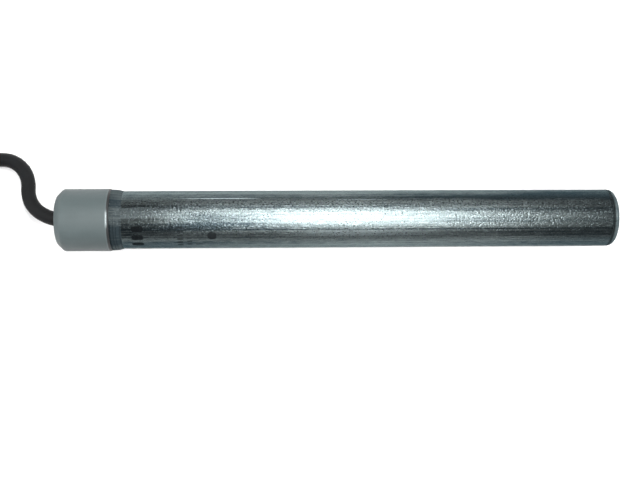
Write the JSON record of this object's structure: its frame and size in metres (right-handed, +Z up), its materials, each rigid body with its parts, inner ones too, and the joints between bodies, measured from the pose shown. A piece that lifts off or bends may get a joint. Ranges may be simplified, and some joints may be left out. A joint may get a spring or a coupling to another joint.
{
  "type": "submersible aquarium heater",
  "caption": "Straight metal tube heater for an aquarium, closed at one end, with a plastic head cap, a tied mains lead and an earthed plug.",
  "frame": {"origin": "under the middle of the heater's length, on the surface that it lies on, with the tube's axis straight above", "axes": "+X along the tube's axis from the head cap towards the closed end, +Z up from the surface, +Y to the side that the lead bends to"},
  "size_m": [0.5425, 0.0449, 0.033],
  "materials": {
    "tube_metal": "drawn satin",
    "cap_plastic": "moulded, slightly glossy",
    "seal_rubber": "moulded",
    "sealant": "cured silicone, translucent",
    "lead_rubber": "extruded, matt",
    "potting_resin": "cast resin",
    "tinned_metal": "tinned",
    "core_brown": "extruded",
    "core_blue": "extruded",
    "core_green": "extruded",
    "fibre_board": "pressed fibre",
    "mica": "mica sheet",
    "brass_strip": "pressed strip",
    "ceramic": "fired steatite",
    "silver_contact": "silver",
    "plain_steel": "drawn",
    "bimetal": "rolled strip",
    "resistance_wire": "oxidised",
    "glass_braid": "woven glass",
    "mineral_powder": "packed powder",
    "ceramic_wool": "felted",
    "tie_fabric": "woven strap",
    "plug_plastic": "moulded",
    "plug_metal": "nickel plated"
  },
  "bodies": {
    "heater": {"sheath_tube": "tube_metal", "sheath_end_cap": "tube_metal", "head_cap": "cap_plastic", "neck_seal_rings": "seal_rubber", "sealant_bead": "sealant", "cord_gland": "lead_rubber", "potting": "potting_resin", "cord_clamp": "tinned_metal", "core_live": "core_brown", "core_neutral": "core_blue", "core_earth": "core_green", "barrier_disc": "fibre_board", "mica_board": "mica", "crimp_sleeves": "tinned_metal", "earth_tag": "brass_strip", "thermal_fuse": "ceramic", "fuse_leads": "tinned_metal", "cutout_case": "ceramic", "cutout_cover": "ceramic", "contact_terminal": "brass_strip", "fixed_contact": "silver_contact", "pivot_terminal": "brass_strip", "pivot_pin": "plain_steel", "element_lead": "resistance_wire", "return_lead": "resistance_wire", "glass_sleeve": "glass_braid", "upper_disc": "ceramic", "ceramic_core": "ceramic", "heating_wire": "resistance_wire", "mica_sleeve": "mica", "mineral_fill": "mineral_powder", "lower_disc": "ceramic", "fibre_pad": "ceramic_wool", "cord_run": "lead_rubber", "cord_hank": "lead_rubber", "cord_tail": "lead_rubber", "hank_tie": "tie_fabric", "plug_body": "plug_plastic", "plug_pins": "plug_metal", "plug_earth_clips": "plug_metal", "plug_boot": "plug_plastic"},
    "contact_arm": {"bimetal_arm": "bimetal", "moving_contact": "silver_contact"}
  },
  "joints": [
    {"name": "cutout_contact", "type": "hinge", "parent": "heater", "child": "contact_arm", "pos_m": [-0.0426, 0.001, 0.01884], "axis": [0, 1, 0], "range_deg": [0, 6], "stiffness_Nm_per_rad": 0.0005, "springref_deg": -2.86}
  ]
}
